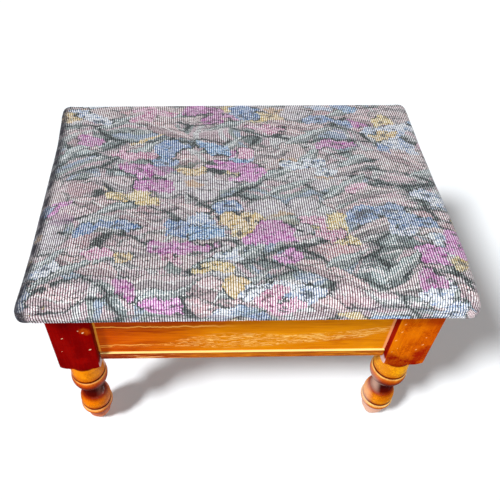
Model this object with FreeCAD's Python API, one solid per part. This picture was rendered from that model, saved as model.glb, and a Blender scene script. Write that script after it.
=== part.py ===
import FreeCAD, Part

import math
import os

# Storage footstool: a padded, fabric-covered lid hinged to a wooden box on four turned legs.
# Millimetres. +X runs to the right along the front, +Y to the back (the hinge side), +Z up.
# The origin is on the floor, under the middle of the lid.

V = FreeCAD.Vector
X_AXIS, Y_AXIS, Z_AXIS = V(1, 0, 0), V(0, 1, 0), V(0, 0, 1)

# ---- Lid -----------------------------------------------------------------------------------------
lid_width = 406.0          # over the fabric, along X
lid_depth = 292.0          # over the fabric, along Y
lid_corner_radius = 13.0   # in plan
lid_height = 29.0          # fabric underside to the top
lid_clearance = 0.3        # under the closed lid, above the rim of the box
pad_edge_radius = 10.0     # rounding of the upper edge over the foam
pad_lower_radius = 3.0     # rounding where the fabric turns under
fabric_thickness = 1.2
fabric_turn_under = 26.0   # width of the fabric margin on the underside
stuffing_gap = 0.2         # between the fabric and what it wraps
lid_board_thickness = 12.0
lining_thickness = 0.8     # cloth-covered card under the lid
lining_inset = 9.0         # from the lid's edge

# ---- Box -----------------------------------------------------------------------------------------
lid_overhang = 15.0        # past the legs, all round
leg_section = 42.0         # square block of each leg
apron_height = 84.5
apron_thickness = 18.0
apron_reveal = 8.0         # front and side aprons stand back from the legs' faces
back_apron_reveal = 3.0    # shallower, so that the hinges reach past the back legs
bottom_thickness = 11.5
bottom_lip = 2.0           # the bottom board stands proud of the aprons, as a ledge
bottom_notch_gap = 0.8     # between the bottom board and the legs
bottom_edge_radius = 1.2   # eased edges of the bottom board
block_below_bottom = 8.5   # the square blocks reach below the bottom board
block_edge_radius = 1.5    # eased vertical edges of the blocks

# ---- Turned part of a leg, from the block down; its heights add up to the turned length ------------
shoulder_height = 5.0      # rolled shoulder cut into the block's corners
shoulder_radius = 20.0     # where the roll meets the block's flat underside
collar_height = 6.0        # short plain neck between the block and the upper bead
collar_radius = 17.4
barrel_height = 27.8       # upper bead, down to its groove
barrel_radius = 18.6
groove_height = 2.4        # V-groove round each bead
groove_depth = 1.5
cup_height = 26.8          # upper bead below its groove
cup_swell = 5.0            # how far its side stands off the straight line
neck_height = 13.0
neck_radius = 8.4
neck_flare = 0.8           # the neck is waisted by this much
vase_height = 23.5         # lower bead, down to its groove
vase_radius = 17.0
vase_swell = 3.2
ring_height = 10.6         # lower bead below its groove
ring_foot_radius = 16.0
ring_swell = 1.8
foot_height = 29.0         # tapered toe
foot_step = 1.2            # the toe starts inside the ring's lower edge
foot_break_height = 14.0   # where the toe turns in
foot_break_radius = 13.2
foot_radius = 7.4

# ---- Tenons on the ends of the aprons ------------------------------------------------------------
tenon_length = 17.0
tenon_thickness = 8.0
tenon_shoulder = 12.0      # above and below the tenon
mortise_end_gap = 1.0      # glue space behind the tenon
mortise_side_gap = 0.05    # round the tenon

# ---- Hinges --------------------------------------------------------------------------------------
hinge_length = 38.0
hinge_inset = 46.0         # from a back leg to the middle of the hinge beside it
hinge_leaf_width = 19.0    # from the pivot to the leaf's free edge
hinge_leaf_thickness = 1.2
knuckle_radius = 2.5
knuckle_count = 5          # odd: the frame leaf has the end knuckles
knuckle_gap = 0.3          # axial, between neighbours
knuckle_clearance = 0.3    # radial, to the lid's underside
knuckle_relief = 0.6       # radial, between a knuckle and the other leaf
pivot_setback = 3.0        # pivot behind the back legs
pin_diameter = 2.4
pin_running_fit = 0.05     # radial, in the lid leaf's knuckles
pin_overhang = 0.8         # pin past the end knuckles
recess_gap = 0.3           # round the leaves let into the back apron

# ---- Screws and staples --------------------------------------------------------------------------
hinge_screw_diameter = 2.8
hinge_screw_head_diameter = 5.2
frame_hinge_screw_length = 15.0
lid_hinge_screw_length = 11.0
hinge_screw_count = 2      # in each leaf
hinge_screw_spacing = 22.0
bottom_screw_diameter = 3.8
bottom_screw_head_diameter = 7.6
bottom_screw_length = 34.0
bottom_screw_inset = 41.0  # from a leg to the first screw in an apron
bottom_screw_count_wide = 3    # in the front and back aprons, each
bottom_screw_count_deep = 2    # in each side apron
screw_hole_fit = 0.05      # radial
screw_slot_width = 0.8
screw_slot_share = 0.45    # slot depth as a share of the head's height
hinge_screw_share = 0.38   # place of the screws across a leaf, from its free edge
staple_crown = 10.0
staple_leg = 7.0
staple_wire = 0.8
staple_slot_fit = 0.05
staple_inset = 17.0        # from the lid's edge
staple_count_wide = 7      # along the front and back edges, each
staple_count_deep = 5      # along each side edge
staple_corner_gap = 26.0   # first staple to the lid's corner

# ---- Worked out from the sizes above -------------------------------------------------------------
frame_width = lid_width - 2 * lid_overhang
frame_depth = lid_depth - 2 * lid_overhang
half_width, half_depth = frame_width / 2, frame_depth / 2
turned_length = (collar_height + barrel_height + groove_height + cup_height + neck_height
                 + vase_height + groove_height + ring_height + foot_height)
bottom_z = turned_length + block_below_bottom
apron_z = bottom_z + bottom_thickness
rim_z = apron_z + apron_height
lining_z = rim_z + lid_clearance              # underside of the closed lid
lid_z = lining_z + lining_thickness           # underside of the fabric
board_z = lid_z + fabric_thickness + stuffing_gap
board_top_z = board_z + lid_board_thickness
leg_x = half_width - leg_section / 2          # leg axes
leg_y = half_depth - leg_section / 2
pivot_y = half_depth + pivot_setback
pivot_z = lining_z - knuckle_radius - knuckle_clearance
pin_radius = pin_diameter / 2
REACH = 10 * lid_width                        # longer than anything in the model
RIGHT_ANGLE = 90                              # degrees
UPRIGHT_SHARE = 0.9                           # least upward part of an upright edge's direction


def box(x0, y0, z0, x1, y1, z1):
    """Box between two corners."""
    return Part.makeBox(x1 - x0, y1 - y0, z1 - z0, V(x0, y0, z0))


def rod(radius, start, direction, length):
    """Round rod from a start point."""
    return Part.makeCylinder(radius, length, start, direction)


def arc(start, middle, end):
    """Arc through three (radius, height) points of a profile."""
    return Part.Arc(*(V(r, 0, z) for r, z in (start, middle, end))).toShape()


def is_upright(edge):
    """True for a vertical edge."""
    return abs(edge.tangentAt(edge.FirstParameter).z) > UPRIGHT_SHARE


def upright_edges(shape):
    """Vertical edges of a shape."""
    return [e for e in shape.Edges if is_upright(e)]


def level_edges(shape):
    """Horizontal edges of a shape."""
    return [e for e in shape.Edges if not is_upright(e)]


def line(start, end):
    """Straight edge between two (radius, height) points of a profile."""
    return Part.LineSegment(V(start[0], 0, start[1]), V(end[0], 0, end[1])).toShape()


def revolved(edges):
    """Solid of revolution about Z from profile edges that close on the axis."""
    face = Part.Face(Part.Wire(edges))
    return face.revolve(V(0, 0, 0), Z_AXIS, 360)


def bulged(start, end, bulge):
    """Arc between two profile points that stands off the chord by bulge (outwards if positive)."""
    dr, dz = end[0] - start[0], end[1] - start[1]
    chord = math.hypot(dr, dz)
    middle = ((start[0] + end[0]) / 2 - bulge * dz / chord,
              (start[1] + end[1]) / 2 + bulge * dr / chord)
    return arc(start, middle, end)


# ---- Legs ----------------------------------------------------------------------------------------

def turned_profile():
    """Edges of the turned part, from its top down to the floor, closed along the axis."""
    collar_foot_z = turned_length - collar_height
    groove_one_z = collar_foot_z - barrel_height
    cup_z = groove_one_z - groove_height
    neck_z = cup_z - cup_height
    vase_z = neck_z - neck_height
    groove_two_z = vase_z - vase_height
    ring_z = groove_two_z - groove_height
    foot_z = ring_z - ring_height
    waist_radius = neck_radius + neck_flare
    half_groove = groove_height / 2
    return [
        line((0, turned_length), (collar_radius, turned_length)),
        line((collar_radius, turned_length), (collar_radius, collar_foot_z)),
        line((collar_radius, collar_foot_z), (barrel_radius, groove_one_z)),
        line((barrel_radius, groove_one_z), (barrel_radius - groove_depth, groove_one_z - half_groove)),
        line((barrel_radius - groove_depth, groove_one_z - half_groove), (barrel_radius, cup_z)),
        bulged((barrel_radius, cup_z), (waist_radius, neck_z), cup_swell),
        arc((waist_radius, neck_z), (neck_radius, (neck_z + vase_z) / 2), (waist_radius, vase_z)),
        bulged((waist_radius, vase_z), (vase_radius, groove_two_z), vase_swell),
        line((vase_radius, groove_two_z), (vase_radius - groove_depth, groove_two_z - half_groove)),
        line((vase_radius - groove_depth, groove_two_z - half_groove), (vase_radius, ring_z)),
        bulged((vase_radius, ring_z), (ring_foot_radius, foot_z), ring_swell),
        line((ring_foot_radius, foot_z), (ring_foot_radius - foot_step, foot_z)),
        line((ring_foot_radius - foot_step, foot_z), (foot_break_radius, foot_break_height)),
        line((foot_break_radius, foot_break_height), (foot_radius, 0)),
        line((foot_radius, 0), (0, 0)),
        line((0, 0), (0, turned_length)),
    ]


def leg_blank():
    """A leg on the Z axis: square block with rolled shoulders above the turned part."""
    half = leg_section / 2
    block = box(-half, -half, turned_length, half, half, rim_z)
    block = block.makeFillet(block_edge_radius, upright_edges(block))
    reach = math.hypot(half, half)
    roll_top = (reach, turned_length + shoulder_height)
    roll_foot = (shoulder_radius, turned_length)
    half_way = math.sin(math.radians(45))
    roll_middle = (shoulder_radius + (reach - shoulder_radius) * half_way,
                   turned_length + shoulder_height * (1 - half_way))
    envelope = revolved([
        line((0, turned_length), roll_foot),
        arc(roll_foot, roll_middle, roll_top),
        line(roll_top, (reach, rim_z)),
        line((reach, rim_z), (0, rim_z)),
        line((0, rim_z), (0, turned_length)),
    ])
    return block.common(envelope).fuse(revolved(turned_profile())).removeSplitter()


# ---- Aprons --------------------------------------------------------------------------------------

WIDE_APRONS = ("apron_front", "apron_back")


def apron_boxes():
    """Each apron's corners between the legs, by name: (x0, y0, x1, y1)."""
    inner_x = half_width - leg_section
    inner_y = half_depth - leg_section
    front = -half_depth + apron_reveal
    back = half_depth - back_apron_reveal
    side = half_width - apron_reveal
    return {
        "apron_front": (-inner_x, front, inner_x, front + apron_thickness),
        "apron_back": (-inner_x, back - apron_thickness, inner_x, back),
        "apron_left": (-side, -inner_y, -side + apron_thickness, inner_y),
        "apron_right": (side - apron_thickness, -inner_y, side, inner_y),
    }


def tenon_bar(name, end_gap=0.0, side_gap=0.0):
    """Bar that passes through an apron and stands out at both ends as its tenons, or their mortises."""
    x0, y0, x1, y1 = apron_boxes()[name]
    reach = tenon_length + end_gap
    half = tenon_thickness / 2 + side_gap
    low = apron_z + tenon_shoulder - side_gap
    high = rim_z - tenon_shoulder + side_gap
    if name in WIDE_APRONS:
        middle = (y0 + y1) / 2
        return box(x0 - reach, middle - half, low, x1 + reach, middle + half, high)
    middle = (x0 + x1) / 2
    return box(middle - half, y0 - reach, low, middle + half, y1 + reach, high)


# ---- Hinges --------------------------------------------------------------------------------------

def hinge_middles():
    """X of each hinge's middle, by side."""
    x = half_width - leg_section - hinge_inset
    return {"left": -x, "right": x}


def knuckle_spans(x, for_frame):
    """X ranges of the knuckles of one leaf of the hinge whose middle is at x."""
    pitch = hinge_length / knuckle_count
    spans = []
    for i in range(knuckle_count):
        if (i % 2 == 0) == for_frame:
            start = x - hinge_length / 2 + i * pitch
            gap_before = knuckle_gap / 2 if i > 0 else 0
            gap_after = knuckle_gap / 2 if i < knuckle_count - 1 else 0
            spans.append((start + gap_before, start + pitch - gap_after))
    return spans


def screw_places(x):
    """(x, y) of the screws of a leaf of the hinge whose middle is at x."""
    y = pivot_y - hinge_leaf_width + hinge_screw_share * (hinge_leaf_width - knuckle_radius)
    first = -(hinge_screw_count - 1) / 2
    return [(x + (first + i) * hinge_screw_spacing, y) for i in range(hinge_screw_count)]


def leaf(x, for_frame):
    """A leaf with its knuckles: the frame's lies on the foot of its recess, the lid's under the lid."""
    low = pivot_z - knuckle_radius if for_frame else lining_z - hinge_leaf_thickness
    high = low + hinge_leaf_thickness
    plate = box(x - hinge_length / 2, pivot_y - hinge_leaf_width, low,
                x + hinge_length / 2, pivot_y, high)
    relief_radius = knuckle_radius + knuckle_relief
    own, other = knuckle_spans(x, for_frame), knuckle_spans(x, not for_frame)
    for start, end in other:
        plate = plate.cut(rod(relief_radius, V(start - knuckle_gap, pivot_y, pivot_z),
                              X_AXIS, end - start + 2 * knuckle_gap))
        plate = plate.cut(box(start - knuckle_gap, pivot_y - relief_radius, low,
                              end + knuckle_gap, pivot_y, high))
    for start, end in own:
        plate = plate.fuse(rod(knuckle_radius, V(start, pivot_y, pivot_z), X_AXIS, end - start))
    bore = pin_radius + (0 if for_frame else pin_running_fit)
    plate = plate.cut(rod(bore, V(x - REACH / 2, pivot_y, pivot_z), X_AXIS, REACH))
    return plate.cut(hinge_screws(for_frame, screw_hole_fit, slotted=False)).removeSplitter()


def hinge_pin(x):
    """Pin through both leaves, a little longer than the hinge."""
    start = x - hinge_length / 2 - pin_overhang
    return rod(pin_radius, V(start, pivot_y, pivot_z), X_AXIS, hinge_length + 2 * pin_overhang)


def hinge_recess(x):
    """Space let into the back apron's upper edge for both leaves of a hinge."""
    half = hinge_length / 2 + recess_gap
    return box(x - half, pivot_y - hinge_leaf_width - recess_gap, pivot_z - knuckle_radius,
               x + half, pivot_y, rim_z)


# ---- Screws and staples --------------------------------------------------------------------------

def screw(diameter, head_diameter, length, head, direction, fit=0.0, slotted=True):
    """Countersunk screw whose head is flush at the point head, pointing along direction (up or down).

    With a fit it is the hole for that screw, wider by the fit all round.
    """
    radius, head_radius = diameter / 2 + fit, head_diameter / 2 + fit
    head_height = (head_diameter - diameter) / 2
    body = revolved([
        line((0, 0), (head_radius, 0)),
        line((head_radius, 0), (radius, head_height)),
        line((radius, head_height), (radius, length + fit)),
        line((radius, length + fit), (0, length + fit)),
        line((0, length + fit), (0, 0)),
    ])
    if slotted:
        half = screw_slot_width / 2
        depth = screw_slot_share * head_height
        body = body.cut(box(-head_radius, -half, 0, head_radius, half, depth))
    if direction.z < 0:
        body.rotate(V(0, 0, 0), X_AXIS, 180)
    body.translate(head)
    return body


def bottom_screw_places():
    """(x, y) of the screws that hold the bottom board to the aprons."""
    places = []
    for name, (x0, y0, x1, y1) in apron_boxes().items():
        middle_x, middle_y = (x0 + x1) / 2, (y0 + y1) / 2
        wide = name in WIDE_APRONS
        count = bottom_screw_count_wide if wide else bottom_screw_count_deep
        run = (x1 - x0 if wide else y1 - y0) - 2 * bottom_screw_inset
        for i in range(count):
            offset = -run / 2 + i * run / (count - 1)
            places.append((middle_x + offset * wide, middle_y + offset * (not wide)))
    return places


def bottom_screws(fit=0.0, slotted=True):
    """Screws driven up through the bottom board, or their holes."""
    return [screw(bottom_screw_diameter, bottom_screw_head_diameter, bottom_screw_length,
                  V(x, y, bottom_z), Z_AXIS, fit, slotted) for x, y in bottom_screw_places()]


def hinge_screws(for_frame, fit=0.0, slotted=True):
    """Screws of the frame leaves (downwards) or of the lid leaves (upwards), or their holes."""
    if for_frame:
        head_z = pivot_z - knuckle_radius + hinge_leaf_thickness
        length, direction = frame_hinge_screw_length, Z_AXIS * -1
    else:
        head_z = lining_z - hinge_leaf_thickness
        length, direction = lid_hinge_screw_length, Z_AXIS
    return [screw(hinge_screw_diameter, hinge_screw_head_diameter, length,
                  V(sx, sy, head_z), direction, fit, slotted)
            for x in hinge_middles().values() for sx, sy in screw_places(x)]


def staple(middle, angle, fit=0.0):
    """Staple driven up into the lid, its crown sunk in the fabric, or its slot with a fit all round."""
    half, wire = staple_crown / 2 + fit, staple_wire / 2 + fit
    inner = staple_crown / 2 - staple_wire - fit
    body = box(-half, -wire, 0, half, wire, staple_wire + fit)
    for low, high in ((-half, -inner), (inner, half)):
        body = body.fuse(box(low, -wire, 0, high, wire, staple_leg + fit))
    body = body.removeSplitter()
    body.rotate(V(0, 0, 0), Z_AXIS, angle)
    body.translate(middle)
    return body


def staples(fit=0.0):
    """Staples along the four edges of the fabric's margin, or their slots."""
    made = []
    edges = ((lid_width, lid_depth, staple_count_wide, False),
             (lid_depth, lid_width, staple_count_deep, True))
    for length, across, count, turned in edges:
        run = length - 2 * staple_corner_gap
        for i in range(count):
            along = -run / 2 + i * run / (count - 1)
            for side in (-1, 1):
                off = side * (across / 2 - staple_inset)
                place = V(off, along, lid_z) if turned else V(along, off, lid_z)
                made.append(staple(place, RIGHT_ANGLE if turned else 0, fit))
    return made


# ---- Box parts -----------------------------------------------------------------------------------

def legs():
    """The four legs, by name, with their mortises."""
    blank = leg_blank()
    mortises = [tenon_bar(name, mortise_end_gap, mortise_side_gap) for name in apron_boxes()]
    made = {}
    for row, sy in (("front", -1), ("back", 1)):
        for column, sx in (("left", -1), ("right", 1)):
            leg = blank.copy()
            leg.translate(V(sx * leg_x, sy * leg_y, 0))
            made[f"leg_{row}_{column}"] = leg.cut(mortises)
    return made


def aprons():
    """The four aprons, by name, with their tenons and with the cuts for screws and hinges."""
    screw_holes = bottom_screws(screw_hole_fit, slotted=False)
    hinge_cuts = [hinge_recess(x) for x in hinge_middles().values()]
    hinge_cuts += hinge_screws(True, screw_hole_fit, slotted=False)
    made = {}
    for name, (x0, y0, x1, y1) in apron_boxes().items():
        board = box(x0, y0, apron_z, x1, y1, rim_z).fuse(tenon_bar(name)).removeSplitter()
        cuts = screw_holes + hinge_cuts if name == "apron_back" else screw_holes
        made[name] = board.cut(cuts)
    return made


def bottom_board():
    """Floor of the box, under the aprons, notched round the legs."""
    side = half_width - apron_reveal + bottom_lip
    front = -half_depth + apron_reveal - bottom_lip
    back = half_depth - back_apron_reveal + bottom_lip
    board = box(-side, front, bottom_z, side, back, apron_z)
    board = board.makeFillet(bottom_edge_radius, level_edges(board))
    notch_x = half_width - leg_section - bottom_notch_gap
    notch_y = half_depth - leg_section - bottom_notch_gap
    notches = [box(min(sx * notch_x, sx * REACH), min(sy * notch_y, sy * REACH), 0,
                   max(sx * notch_x, sx * REACH), max(sy * notch_y, sy * REACH), rim_z)
               for sx in (-1, 1) for sy in (-1, 1)]
    return board.cut(notches + bottom_screws(screw_hole_fit, slotted=False))


# ---- Lid parts -----------------------------------------------------------------------------------

def rounded_plate(width, depth, radius, low, high):
    """Plate with rounded corners in plan, centred on the Z axis."""
    plate = box(-width / 2, -depth / 2, low, width / 2, depth / 2, high)
    return plate.makeFillet(radius, upright_edges(plate))


def pad_form(inset):
    """Outer form of the covered lid, or the same form drawn in by inset on every side."""
    low, high = lid_z + inset, lid_z + lid_height - inset
    form = rounded_plate(lid_width - 2 * inset, lid_depth - 2 * inset, lid_corner_radius - inset, low, high)
    middle_z = (low + high) / 2
    upper = [e for e in form.Edges if e.BoundBox.ZMin > middle_z]
    form = form.makeFillet(pad_edge_radius - inset, upper)
    lower = [e for e in form.Edges if e.BoundBox.ZMax < middle_z]
    return form.makeFillet(pad_lower_radius - inset, lower)


def lid_parts():
    """The lid's own layers, by name, with the holes of the hinge screws."""
    inside = pad_form(fabric_thickness)
    stuffing = pad_form(fabric_thickness + stuffing_gap)
    window = box(-lid_width / 2 + fabric_turn_under, -lid_depth / 2 + fabric_turn_under, lid_z,
                 lid_width / 2 - fabric_turn_under, lid_depth / 2 - fabric_turn_under, board_z)
    wood_zone = box(-REACH, -REACH, lid_z, REACH, REACH, board_top_z)
    foam_zone = box(-REACH, -REACH, board_top_z, REACH, REACH, REACH)
    lining = rounded_plate(lid_width - 2 * lining_inset, lid_depth - 2 * lining_inset,
                           lid_corner_radius, lining_z, lid_z)
    screw_holes = hinge_screws(False, screw_hole_fit, slotted=False)
    slots = staples(staple_slot_fit)
    return {
        "fabric_cover": pad_form(0).cut([inside, window] + screw_holes + slots),
        "foam_pad": stuffing.common(foam_zone),
        "lid_board": stuffing.common(wood_zone).cut(screw_holes + slots),
        "lid_lining": lining.cut(screw_holes),
    }


# ---- Assembly ------------------------------------------------------------------------------------

def hinge_parts():
    """Leaves and pins of both hinges, by name."""
    made = {}
    for side, x in hinge_middles().items():
        made[f"hinge_{side}_frame_leaf"] = leaf(x, for_frame=True)
        made[f"hinge_{side}_lid_leaf"] = leaf(x, for_frame=False)
        made[f"hinge_{side}_pin"] = hinge_pin(x)
    return made


def fasteners():
    """Groups of identical screws and staples, by name."""
    return {
        "bottom_screws": Part.Compound(bottom_screws()),
        "hinge_frame_screws": Part.Compound(hinge_screws(True)),
        "hinge_lid_screws": Part.Compound(hinge_screws(False)),
        "cover_staples": Part.Compound(staples()),
    }


def main():
    parts = {**legs(), **aprons(), "bottom_board": bottom_board(),
             **lid_parts(), **hinge_parts(), **fasteners()}
    os.makedirs("parts", exist_ok=True)
    for name, shape in parts.items():
        solids = shape.Solids
        if not solids or not all(s.isValid() for s in solids):
            raise ValueError(f"{name} is not a valid solid")
        shape.exportStep(f"parts/{name}.step")
        print(f"{name:24s} solids {len(solids):2d}  volume {shape.Volume / 1000:9.2f} cm3")


main()
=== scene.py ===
import math
from functools import partial, partialmethod, reduce
from itertools import accumulate

import bpy
import numpy as np
from mathutils import Matrix, Vector


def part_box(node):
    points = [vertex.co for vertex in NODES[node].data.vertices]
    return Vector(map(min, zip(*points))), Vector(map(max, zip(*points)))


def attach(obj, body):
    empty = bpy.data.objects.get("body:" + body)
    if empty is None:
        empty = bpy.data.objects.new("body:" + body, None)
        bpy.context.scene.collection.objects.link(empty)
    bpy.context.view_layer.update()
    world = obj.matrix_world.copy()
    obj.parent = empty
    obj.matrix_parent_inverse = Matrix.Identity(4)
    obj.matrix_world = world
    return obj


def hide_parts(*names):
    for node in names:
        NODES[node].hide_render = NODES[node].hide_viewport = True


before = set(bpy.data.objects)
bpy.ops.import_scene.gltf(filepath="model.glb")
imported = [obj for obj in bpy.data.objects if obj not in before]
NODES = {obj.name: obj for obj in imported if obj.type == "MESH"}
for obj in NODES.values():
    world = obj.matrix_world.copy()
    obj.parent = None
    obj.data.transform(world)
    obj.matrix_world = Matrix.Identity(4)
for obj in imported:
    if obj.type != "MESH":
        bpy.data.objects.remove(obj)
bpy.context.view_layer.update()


# ---- Node helpers ----

def srgb(*channels):
    """Linear colour of an 8-bit screen colour."""
    shares = [c / 255 for c in channels]
    linear = [c / 12.92 if c <= 0.04045 else ((c + 0.055) / 1.055) ** 2.4 for c in shares]
    return (*linear, 1.0)


class Shader:
    """A new material or world, and short names for the nodes that it is made of.

    Where colours are mixed, one is a socket, a screen colour (r, g, b) or four linear values.
    """

    def __init__(self, name, kind=bpy.data.materials):
        self.made = kind.new(name)
        self.made.use_nodes = True
        self.tree = self.made.node_tree
        self.tree.nodes.clear()

    def node(self, kind, inputs=None, **settings):
        """A new node with its settings, and then its inputs by name or number.

        An input is a value, a socket or a node, which stands for its first output.
        """
        made = self.tree.nodes.new(kind)
        for key, value in settings.items():
            setattr(made, key, value)
        for key, value in (inputs or {}).items():
            value = getattr(value, "outputs", (value,))[0]
            if isinstance(value, bpy.types.NodeSocket):
                self.tree.links.new(value, made.inputs[key])
            elif value is not None:
                made.inputs[key].default_value = value
        return made

    # ---- Numbers

    def math(self, operation, a, b=None, c=None, clamp=False):
        n = self.node("ShaderNodeMath", {0: a, 1: b, 2: c}, operation=operation, use_clamp=clamp)
        return n.outputs[0]

    plus = partialmethod(math, "ADD")
    less = partialmethod(math, "SUBTRACT")
    ratio = partialmethod(math, "DIVIDE")
    size = partialmethod(math, "ABSOLUTE")
    floor = partialmethod(math, "FLOOR")
    fract = partialmethod(math, "FRACT")
    cosine = partialmethod(math, "COSINE")
    line = partialmethod(math, "MULTIPLY_ADD")      # value, slope, start

    def times(self, *factors):
        return reduce(partial(self.math, "MULTIPLY"), factors)

    def largest(self, *values):
        return reduce(partial(self.math, "MAXIMUM"), values)

    def apart(self, a, b):
        """Distance between two numbers."""
        return self.size(self.less(a, b))

    def blend(self, factor, a, b):
        """From one number to another."""
        return self.line(self.less(b, a), factor, a)

    def step(self, value, low, high, to_low=0.0, to_high=1.0):
        """Smooth step of a value between two edges."""
        inputs = {"Value": value, "From Min": low, "From Max": high, "To Min": to_low,
                  "To Max": to_high}
        return self.node("ShaderNodeMapRange", inputs, interpolation_type="SMOOTHSTEP").outputs[0]

    # ---- Vectors and textures

    def vec(self, operation, a, b=None):
        n = self.node("ShaderNodeVectorMath", {0: a, 1: b}, operation=operation)
        return n.outputs["Value" if operation in ("LENGTH", "DOT_PRODUCT") else "Vector"]

    scaled = partialmethod(vec, "MULTIPLY")
    shifted = partialmethod(vec, "ADD")
    offset = partialmethod(vec, "SUBTRACT")
    length = partialmethod(vec, "LENGTH")

    def combine(self, x, y, z=0.0):
        return self.node("ShaderNodeCombineXYZ", {0: x, 1: y, 2: z}).outputs[0]

    def split(self, vector):
        return tuple(self.node("ShaderNodeSeparateXYZ", {0: vector}).outputs)

    def position(self):
        return self.node("ShaderNodeTexCoord").outputs["Object"]

    def white(self, vector):
        n = self.node("ShaderNodeTexWhiteNoise", {"Vector": vector}, noise_dimensions="2D")
        return n.outputs["Value"]

    def noise(self, vector, scale, detail=2.0, roughness=0.5, distortion=0.0, out="Fac"):
        inputs = {"Vector": vector, "Scale": scale, "Detail": detail, "Roughness": roughness,
                  "Distortion": distortion}
        return self.node("ShaderNodeTexNoise", inputs).outputs[out]

    def cells(self, vector, scale, randomness=1.0, feature="F1", dimensions="2D"):
        inputs = {"Vector": vector, "Scale": scale, "Randomness": randomness}
        return self.node("ShaderNodeTexVoronoi", inputs, voronoi_dimensions=dimensions,
                         feature=feature).outputs

    def scatter(self, vector, scale, randomness=0.9):
        """The nearest of many scattered spots: the way from it, its place, its three numbers."""
        cell = self.cells(vector, scale, randomness)
        way = self.offset(vector, cell["Position"])
        return way, cell["Position"], self.split(cell["Color"])

    # ---- Colours

    def mix(self, factor, a, b, blend="MIX"):
        a, b = (srgb(*c) if isinstance(c, tuple) and len(c) == 3 else c for c in (a, b))
        inputs = {0: factor, 6: a, 7: b}
        return self.node("ShaderNodeMix", inputs, data_type="RGBA", blend_type=blend).outputs[2]

    def over(self, colour, tone, *masks):
        """The colour, with a tone laid over it where all the masks are 1."""
        return self.mix(self.times(*masks), colour, tone)

    def tinted(self, colour, tone, mask):
        """The colour, multiplied by a tone where the mask is 1."""
        return self.mix(mask, colour, self.mix(1.0, colour, tone, "MULTIPLY"))

    def ramp(self, factor, stops, interpolation="LINEAR"):
        """A colour ramp of (place, linear colour)."""
        n = self.node("ShaderNodeValToRGB", {0: factor})
        n.color_ramp.interpolation = interpolation
        elements = n.color_ramp.elements
        while len(elements) < len(stops):
            elements.new(0.5)
        for element, (place, colour) in zip(elements, stops):
            element.position = place
            element.color = colour
        return n.outputs[0]

    # ---- The surface

    def bump(self, height, distance, strength=1.0, normal=None):
        inputs = {"Strength": strength, "Distance": distance, "Height": height, "Normal": normal}
        return self.node("ShaderNodeBump", inputs).outputs[0]

    def finish(self, colour, roughness, normal, **others):
        """Principled surface; the other inputs go by their own names."""
        inputs = {"Base Color": colour, "Roughness": roughness, "Normal": normal}
        inputs.update({key.replace("_", " "): value for key, value in others.items()})
        surface = self.node("ShaderNodeBsdfPrincipled", inputs)
        self.node("ShaderNodeOutputMaterial", {0: surface})
        return self.made


def dress(obj, material):
    obj.data.materials.clear()
    obj.data.materials.append(material)


# ---- Camera, floor and light ----

IMAGE = 500  # the photograph's frame, in pixels
FOCAL = 582.39
CENTRE = (210.32, 230.61)  # where the view axis meets the frame
PITCH, YAW, ROLL = map(math.radians, (47.34, -1.243, 0.358))
EYE = Vector((-0.04060, -0.43583, 0.68147))

AMBIENT = 0.10  # sky light, as a share of white
KEY = 0.84  # key light on a level surface, as a share of white
KEY_TRAVEL = Vector((0.71, 0.46, -1.0))
# Low fill lights round the object: direction, share of white on an upright face.
FILLS = ((-90, 0.42), (0, 0.38), (90, 0.44), (180, 0.16))
FILL_DISTANCE = 2.6
FILL_HEIGHT = 0.26
FILL_AIM = 0.03  # the height that the fill lights point at
FLOOR_HALF = 6.0
FLOOR_DROP = 0.0003  # below the feet, so that the two don't share a plane
FLOOR_PALE, FLOOR_GREY = 0.92, 0.35  # the floor as it is seen, and as it lights the object
FLOOR_TINT = (0.96, 1.0, 1.03)
FLOOR_SHEEN = 0.10  # light of its own that keeps the lit floor white


def add_to_scene(name, data):
    obj = bpy.data.objects.new(name, data)
    bpy.context.scene.collection.objects.link(obj)
    return obj


def photo_camera():
    data = bpy.data.cameras.new("camera")
    data.sensor_width = 36.0
    data.lens = FOCAL / IMAGE * data.sensor_width
    data.shift_x = (IMAGE / 2 - CENTRE[0]) / IMAGE
    data.shift_y = (CENTRE[1] - IMAGE / 2) / IMAGE
    data.clip_start, data.clip_end = 0.01, 50
    camera = add_to_scene("camera", data)
    camera.matrix_world = (Matrix.Translation(EYE) @ Matrix.Rotation(YAW, 4, "Z")
                           @ Matrix.Rotation(math.pi / 2 - PITCH, 4, "X")
                           @ Matrix.Rotation(ROLL, 4, "Z"))
    bpy.context.scene.camera = camera


def seen_directly(s):
    """1 for rays from the camera and in reflections, 0 for the light that falls on things."""
    path = s.node("ShaderNodeLightPath").outputs
    return s.largest(path["Is Camera Ray"], path["Is Glossy Ray"], path["Is Transmission Ray"])


def add_floor():
    corners = ((-1, -1, 0), (1, -1, 0), (1, 1, 0), (-1, 1, 0))
    mesh = bpy.data.meshes.new("floor")
    mesh.from_pydata([Vector(c) * FLOOR_HALF for c in corners], [], [(0, 1, 2, 3)])
    floor = add_to_scene("floor", mesh)
    floor.location.z = -FLOOR_DROP
    s = Shader("floor_paper")
    seen = seen_directly(s)
    pale = s.line(seen, FLOOR_PALE - FLOOR_GREY, FLOOR_GREY)
    paper = s.node("ShaderNodeBsdfDiffuse",
                   {"Color": s.scaled(s.combine(pale, pale, pale), FLOOR_TINT)})
    sheen = s.node("ShaderNodeEmission", {"Strength": s.times(seen, FLOOR_SHEEN)})
    both = s.node("ShaderNodeAddShader", {0: paper, 1: sheen})
    s.node("ShaderNodeOutputMaterial", {0: both})
    dress(floor, s.made)


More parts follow.
